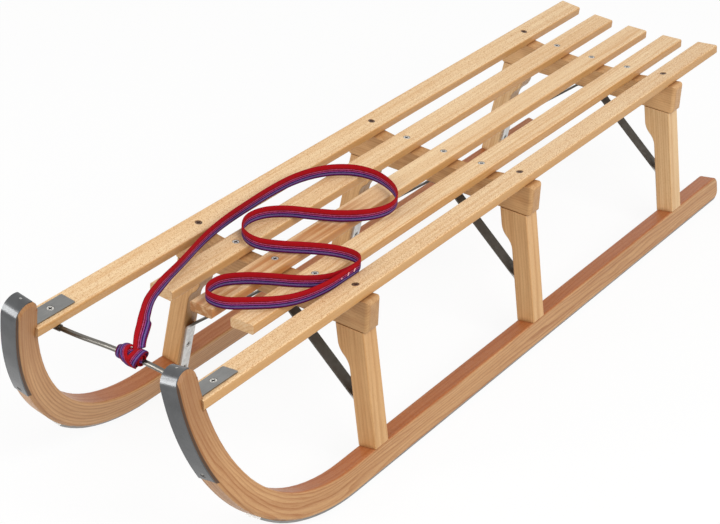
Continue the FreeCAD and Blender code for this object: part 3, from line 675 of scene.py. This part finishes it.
def wood(name, grain, seed, pale, deep, heart, figure=1.0, flecked=0.60, end_axis=None, bent=False,
         darkened=None, side_shading=0.0):
    """Lacquered beech: growth rings, streaks, fibres and short dark ray flecks."""
    graph = Graph(name)
    along, across, depth = grain(graph)
    seeded_along = graph.plus(along, seed * SEED_ALONG)
    seeded_across = graph.plus(across, seed * SEED_ACROSS)

    def stretched(lengthwise, crosswise, detail, rough=0.5):
        """Noise that is drawn out along the grain."""
        point = graph.vector(graph.times(seeded_along, lengthwise), graph.times(seeded_across, crosswise),
                             graph.times(depth, crosswise))
        return graph.noise(point, detail=detail, rough=rough)

    sway = graph.times(graph.minus(stretched(0.004, 0.03, detail=3.0), 0.5), SWAY_MM)
    late = late_wood(graph, across, depth, sway, heart)
    streak = stretched(0.0035, 0.16, detail=3.0, rough=0.55)
    fibre = stretched(0.05, 2.6, detail=3.0, rough=0.6)
    fleck = graph.times(graph.ramp(stretched(0.42, 1.7, detail=1.0), flecked, flecked + 0.08),
                        graph.ramp(graph.facing((0, 0, 1)), 0.3, 0.8, 0.30, 1.0))
    pore = graph.ramp(stretched(0.12, 5.0, detail=1.0), 0.66, 0.74)

    tone = graph.plus(graph.ramp(streak, 0.28, 0.72, 0.05, 0.55), graph.times(late, 0.30 * figure))
    tone = graph.plus(tone, graph.ramp(fibre, 0.3, 0.7, -0.14, 0.20), clamp=True)
    colour = graph.mix(tone, pale, deep)
    dark = darker(deep, 0.56, 0.44, 0.34)
    # Painted shade on the slats' side faces.
    if side_shading:
        colour = side_shade(graph, colour, side_shading)
    if darkened is not None:
        colour = flame(graph, colour, streak, along, darkened)
    colour = graph.mix(graph.times(fleck, 0.80), colour, darker(deep, 0.70, 0.52, 0.36))
    if bent:
        colour = bent_tone(graph, colour, depth)
    colour = graph.mix(graph.times(pore, 0.22), colour, dark)
    # Painted shade: the wood is darkened in creases and where it meets other parts.
    colour = graph.mix(graph.ramp(graph.occlusion_shade(CONTACT_SHADE_REACH), 0.40, 0.90, 0.78, 0.0), colour, dark)
    if end_axis is not None:
        colour = end_grain(graph, colour, end_axis, dark)

    graph.surface("Base Color", colour)
    graph.surface("Roughness", graph.plus(graph.ramp(fibre, 0.3, 0.7, 0.36, 0.50), graph.times(fleck, 0.08)))
    graph.surface("Specular IOR Level", 0.35)
    graph.surface("Coat Weight", 0.12)
    graph.surface("Coat Roughness", 0.42)
    height = graph.minus(graph.times(fibre, 0.5), graph.times(fleck, 0.5))
    height = graph.plus(height, graph.times(late, 0.2))
    graph.bump(height, strength=0.45, distance=0.00022)
    return graph.material


# ---- metal ------------------------------------------------------------------------

# Metal mirrors the white room, so that its own colours are darker than it looks.
SHOE_GREY = srgb(150, 148, 145)
CAP_GREY = srgb(102, 103, 104)
PLATE_GREY = srgb(143, 143, 141)
ROD_GREY = srgb(122, 119, 113)
ZINC = srgb(226, 226, 224)
# The braces' colour above the tabs on the legs, darker.
ZINC_ABOVE_TABS = srgb(86, 81, 74)
SCREW_GREY = srgb(186, 185, 182)
HEAD_BRIGHT = srgb(222, 221, 216)
HEAD_GRIME = srgb(112, 102, 90)
HEAD_EDGE = srgb(44, 34, 26)
HEAD_BROWN = srgb(104, 64, 32)
# Painted shade in the cross recess, on plain and on browned heads.
RECESS_SHADE = srgb(16, 13, 11)
RECESS_SHADE_BROWN = srgb(58, 34, 16)
BROWN_FROM = 85.0                    # mm from the middle: the outer slats' screws are browned
BRACE_TAB_TOP = 92.0                 # mm: the braces' bright tabs on the legs end at this height
TAB_BLUR = 4.0                       # mm above and below it
SCRATCH_ALONG = 0.06                 # how fine scratches are, along the strip and across it
SCRATCH_ACROSS = 2.4
# A screw head at size 1, in millimetres: each value is a soft border's two sides.
CROSS_ARM = (1.0, 0.6)               # half an arm's width
CROSS_REACH = (2.9, 2.4)             # an arm's length from the centre
HEAD_RIM = (3.6, 4.2)                # from the bright rim to the dark edge
SMALL_HEAD = 0.9                     # the size of the heads on the legs and caps
# Millimetres from the edge of a node's box to the middle of a screw head in it.
LOW_LEG_SCREW, HIGH_LEG_SCREW = 4.6, 4.0
PLATE_SCREW_IN = 4.4
CAP_SCREW_IN, CAP_SCREW_UP = 4.0, 7.6


def brushed(name, colour, along_axis, rough, seed=0.0):
    """Rolled steel strip with fine scratches along it and faint stains."""
    graph = Graph(name)
    parts = graph.split(graph.place())
    scales = [SCRATCH_ALONG if axis == along_axis else SCRATCH_ACROSS for axis in "xyz"]
    streaks = graph.vector(*[graph.math("MULTIPLY_ADD", p, s, seed) for p, s in zip(parts, scales)])
    scratch = graph.noise(streaks, detail=3.0, rough=0.6)
    stain = graph.noise(graph.place(), scale=0.045, detail=3.0)
    tone = graph.plus(graph.ramp(stain, 0.3, 0.7, 0.0, 0.6), graph.ramp(scratch, 0.3, 0.7, 0.0, 0.4),
                      clamp=True)
    graph.surface("Base Color", graph.mix(tone, colour, darker(colour, 0.72)))
    graph.surface("Roughness", graph.ramp(scratch, 0.25, 0.75, *rough))
    graph.surface("Metallic", 1.0)
    graph.bump(scratch, strength=0.12, distance=0.00004)
    return graph.material


def galvanised(name, colour, darkened, tab_top):
    """Zinc-dipped flat steel: bright specked tabs on the legs, darker above tab_top (mm)."""
    graph = Graph(name)
    grey = graph.split(graph.patches(graph.place(), 0.22))[0]
    specks = graph.ramp(graph.noise(graph.place(), scale=1.1, detail=3.0), 0.60, 0.72)
    above = graph.ramp(graph.split(graph.place())[2], tab_top - TAB_BLUR, tab_top + TAB_BLUR)
    tone = graph.plus(graph.times(grey, 0.45), graph.times(specks, 0.5), clamp=True)
    bare = graph.mix(graph.times(tone, 0.6), colour, darker(colour, 0.45))
    graph.surface("Base Color", graph.mix(above, bare, darkened))
    graph.surface("Roughness", graph.ramp(grey, 0.0, 1.0, 0.38, 0.56))
    graph.surface("Metallic", graph.ramp(above, 0.0, 1.0, 0.60, 0.85))
    graph.bump(graph.noise(graph.place(), scale=0.5, detail=4.0), strength=0.3, distance=0.00012)
    return graph.material


def screw_steel(name, colour, rough):
    """Drawn screw steel, mottled."""
    graph = Graph(name)
    grain = graph.noise(graph.place(), scale=1.6, detail=4.0)
    graph.surface("Base Color", graph.mix(graph.ramp(grain, 0.35, 0.7), colour, darker(colour, 0.6)))
    graph.surface("Roughness", graph.ramp(grain, 0.3, 0.7, rough - 0.08, rough + 0.1))
    graph.surface("Metallic", 1.0)
    graph.bump(grain, strength=0.3, distance=0.0001)
    return graph.material


def off_centre(graph, part, places):
    """Millimetres to the nearest of the places."""
    offs = [graph.math("ABSOLUTE", graph.minus(part, place)) for place in places]
    nearest = offs[0]
    for off in offs[1:]:
        nearest = graph.math("MINIMUM", nearest, off)
    return nearest


def cross_head(name, one, two, size=1.0, browned=False):
    """Cross-recessed screw heads: a bright rim, grime and a dark cross of painted shade in the recess.

    one and two are an axis and the heads' places on it, in millimetres, with x the same on both sides.
    """
    graph = Graph(name)
    parts = dict(zip("xyz", graph.split(graph.place())))
    parts["x"] = graph.math("ABSOLUTE", parts["x"])
    offs = [graph.math("DIVIDE", off_centre(graph, parts[axis], places), size) for axis, places in (one, two)]
    reach = graph.length(*offs)
    arm = graph.math("MINIMUM", *offs)
    cross = graph.times(graph.ramp(arm, *CROSS_ARM), graph.ramp(reach, *CROSS_REACH))
    grime = graph.ramp(graph.noise(graph.place(), scale=1.6, detail=3.0), 0.35, 0.7, 0.0, 0.5)
    colour, recess_shade = HEAD_BRIGHT, RECESS_SHADE
    if browned:
        outer = graph.math("GREATER_THAN", parts["x"], BROWN_FROM)
        colour = graph.mix(outer, colour, HEAD_BROWN)
        recess_shade = graph.mix(outer, recess_shade, RECESS_SHADE_BROWN)
    colour = graph.mix(grime, colour, HEAD_GRIME)
    colour = graph.mix(graph.ramp(reach, *HEAD_RIM, 0.0, 0.8), colour, HEAD_EDGE)
    # Painted shade fills the cross recess.
    graph.surface("Base Color", graph.mix(cross, colour, recess_shade))
    graph.surface("Metallic", graph.ramp(cross, 0.0, 1.0, 0.35, 0.0))
    graph.surface("Roughness", graph.ramp(grime, 0.0, 0.5, 0.34, 0.55))
    graph.bump(graph.minus(1.0, cross), strength=0.7, distance=0.0006)
    return graph.material


# ---- each piece's finish ------------------------------------------------------------


def box_mm(name):
    """The low and high corners of a node's box, in millimetres."""
    lo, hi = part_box(name)
    return lo * MM, hi * MM


def centre(name, axis):
    """The middle of a node's box along an axis, in millimetres."""
    lo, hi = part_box(name)
    return MM * (getattr(lo, axis) + getattr(hi, axis)) / 2


def paint(name, material):
    """Give a CAD node the material in all its slots."""
    for slot in frame["nodes"][name].material_slots:
        slot.material = material


def dress_slats():
    for i, (name, (aside, depth)) in enumerate(SLAT_HEARTS.items()):
        paint(name, wood("beech_" + name, straight_grain("yxz"), SLAT_SEED + i, *SLAT_WOOD, side_shading=SLAT_SIDE_SHADING,
                         heart=(centre(name, "x") + aside, depth), end_axis=(0, 1, 0), **SLAT_LOOKS[name]))


def dress_frames():
    """The crossbeams, and the legs under each."""
    for i, name in enumerate(STATIONS):
        beam = name + "_crossbeam"
        middle = centre(beam, "y")
        aside, depth = BEAM_HEARTS[name]
        paint(beam, wood("beech_" + beam, straight_grain("xyz"), BEAM_SEED + i, *BEAM_WOOD[name],
                         heart=(middle + aside, depth), end_axis=(1, 0, 0)))
        aside, depth = LEG_HEARTS[name]
        for j, side in enumerate(SIDES):
            leg = side + "_" + name + "_leg"
            paint(leg, wood("beech_" + leg, leg_grain, LEG_SEED + 2 * i + j, *POST_WOOD[name],
                            heart=(middle + aside, depth)))


def dress_runners():
    for j, side in enumerate(SIDES):
        paint(side + "_runner", wood("bent_beech_" + side, curl_grain, RUNNER_SEED + j, *BENT_WOOD[side],
                                     heart=RUNNER_HEART, figure=1.5, bent=True))


def dress_strips():
    """The shoes, caps, plates and braces, and the rod with its collars."""
    shoe = brushed("shoe_steel", SHOE_GREY, "y", (0.28, 0.42))
    cap = brushed("cap_steel", CAP_GREY, "z", (0.18, 0.27), seed=3.0)
    plate = brushed("plate_steel", PLATE_GREY, "y", (0.30, 0.42), seed=5.0)
    rod = brushed("rod_steel", ROD_GREY, "x", (0.26, 0.38), seed=7.0)
    brace = galvanised("brace_zinc", ZINC, ZINC_ABOVE_TABS, BRACE_TAB_TOP)
    for side in SIDES:
        paint(side + "_runner_shoe", shoe)
        paint(side + "_horn_cap", cap)
        paint(side + "_slat_plate", plate)
        paint(side + "_rod_collar", rod)
    paint("pull_rod", rod)
    for name in STATIONS:
        paint(name + "_brace", brace)


def dress_screws():
    """Cross recesses on the screws that show them in the photo, and plain heads on the others."""
    plain = screw_steel("plated_screw", SCREW_GREY, 0.26)
    for name in ("shoe_screws", "horn_screws", "cap_nails"):
        paint(name, plain)
    slats = [centre(slat, "x") for slat in ("middle_slat", "left_inner_slat", "left_outer_slat")]
    for name in STATIONS:
        paint(name + "_brace_top_screws", plain)
        middle = ("y", [centre(name + "_crossbeam", "y")])
        paint(name + "_slat_screws", cross_head(name + "_slat_screw", ("x", slats), middle, browned=True))
        lo, hi = box_mm(name + "_brace_leg_screws")
        heights = ("z", [lo.z + LOW_LEG_SCREW, hi.z - HIGH_LEG_SCREW])
        paint(name + "_brace_leg_screws", cross_head(name + "_brace_screw", heights, middle, size=SMALL_HEAD))
    outer = box_mm("plate_screws")[1].x - PLATE_SCREW_IN
    paint("plate_screws", cross_head("plate_screw", ("x", [outer]), ("y", [centre("plate_screws", "y")])))
    lo, hi = box_mm("cap_screws")
    paint("cap_screws", cross_head("cap_screw", ("x", [hi.x - CAP_SCREW_IN]), ("z", [lo.z + CAP_SCREW_UP]),
                                   size=SMALL_HEAD))


dress_slats()
dress_frames()
dress_runners()
dress_strips()
dress_screws()

# ---- room and light -----------------------------------------------------------------

FLOOR_SIZE = 40.0
FLOOR_Z = -0.0004                    # just under the shoes
FLOOR_GREY = (0.50, 0.495, 0.485)    # for the light that it throws on the sled
FLOOR_WHITE = (0.98, 0.98, 0.98)     # for the rays that show the background
FLOOR_GLOW = 0.90                    # share of glow in what the camera sees
ROOM_TINT = (1.0, 0.985, 0.96, 1.0)
ROOM_STRENGTH = 0.50
WHITE = (1.0, 1.0, 1.0, 1.0)


def sees_background(tree):
    """1 for the rays that show the background: the camera's, and those off metal or through glass."""
    path = tree.nodes.new("ShaderNodeLightPath")
    seen = path.outputs["Is Camera Ray"]
    for ray in ("Is Glossy Ray", "Is Transmission Ray"):
        either = tree.nodes.new("ShaderNodeMath")
        either.operation = "MAXIMUM"
        tree.links.new(seen, either.inputs[0])
        tree.links.new(path.outputs[ray], either.inputs[1])
        seen = either.outputs[0]
    return seen


def floor_white():
    """Grey for the light that it passes on, and nearly white where it is seen."""
    graph = Graph("floor_white")
    graph.tree.nodes.remove(graph.shader)
    seen = sees_background(graph.tree)
    diffuse = graph.node("ShaderNodeBsdfDiffuse")
    graph.feed(diffuse.inputs["Color"], graph.mix(seen, FLOOR_GREY, FLOOR_WHITE))
    glow = graph.node("ShaderNodeEmission")
    glow.inputs["Strength"].default_value = 1.0
    both = graph.node("ShaderNodeMixShader")
    graph.feed(both.inputs["Fac"], graph.times(seen, FLOOR_GLOW))
    graph.feed(both.inputs[1], diffuse.outputs[0])
    graph.feed(both.inputs[2], glow.outputs[0])
    graph.feed(graph.tree.nodes["Material Output"].inputs["Surface"], both.outputs[0])
    return graph.material


def floor():
    """A pale floor that reads as white away from the sled's soft shadow."""
    half = FLOOR_SIZE / 2
    corners = [(-half, -half), (half, -half), (half, half), (-half, half)]
    mesh = bpy.data.meshes.new("floor")
    mesh.from_pydata([(x, y, FLOOR_Z) for x, y in corners], [], [(0, 1, 2, 3)])
    made = bpy.data.objects.new("floor", mesh)
    bpy.context.collection.objects.link(made)
    made.data.materials.append(floor_white())


def world():
    """Warm, even light from all round, and white where it is seen."""
    made = bpy.data.worlds.new("studio")
    bpy.context.scene.world = made
    made.use_nodes = True
    tree = made.node_tree
    light = tree.nodes["Background"]
    light.inputs["Color"].default_value = ROOM_TINT
    light.inputs["Strength"].default_value = ROOM_STRENGTH
    white = tree.nodes.new("ShaderNodeBackground")
    white.inputs["Color"].default_value = WHITE
    both = tree.nodes.new("ShaderNodeMixShader")
    tree.links.new(sees_background(tree), both.inputs["Fac"])
    tree.links.new(light.outputs[0], both.inputs[1])
    tree.links.new(white.outputs[0], both.inputs[2])
    tree.links.new(both.outputs[0], tree.nodes["World Output"].inputs["Surface"])


def softbox(name, place, target, size, power):
    """A rectangular lamp at place that points to target."""
    lamp = bpy.data.lights.new(name, "AREA")
    lamp.shape = "RECTANGLE"
    lamp.size, lamp.size_y = size
    lamp.energy = power
    made = bpy.data.objects.new(name, lamp)
    bpy.context.collection.objects.link(made)
    made.location = place
    made.rotation_euler = (Vector(target) - Vector(place)).to_track_quat("-Z", "Y").to_euler()


floor()
world()
softbox("key", place=(2.35, -0.8, 2.45), target=(0.0, 0.0, 0.1), size=(2.4, 2.4), power=80.0)
softbox("fill", place=(-2.6, -2.9, 2.35), target=(0.1, -0.5, 0.25), size=(1.0, 1.1), power=19.0)
softbox("card", place=(-1.90, -3.1, 1.04), target=(0.1, -0.5, 0.25), size=(0.95, 2.0), power=40.0)
bpy.context.scene.view_settings.view_transform = "Standard"
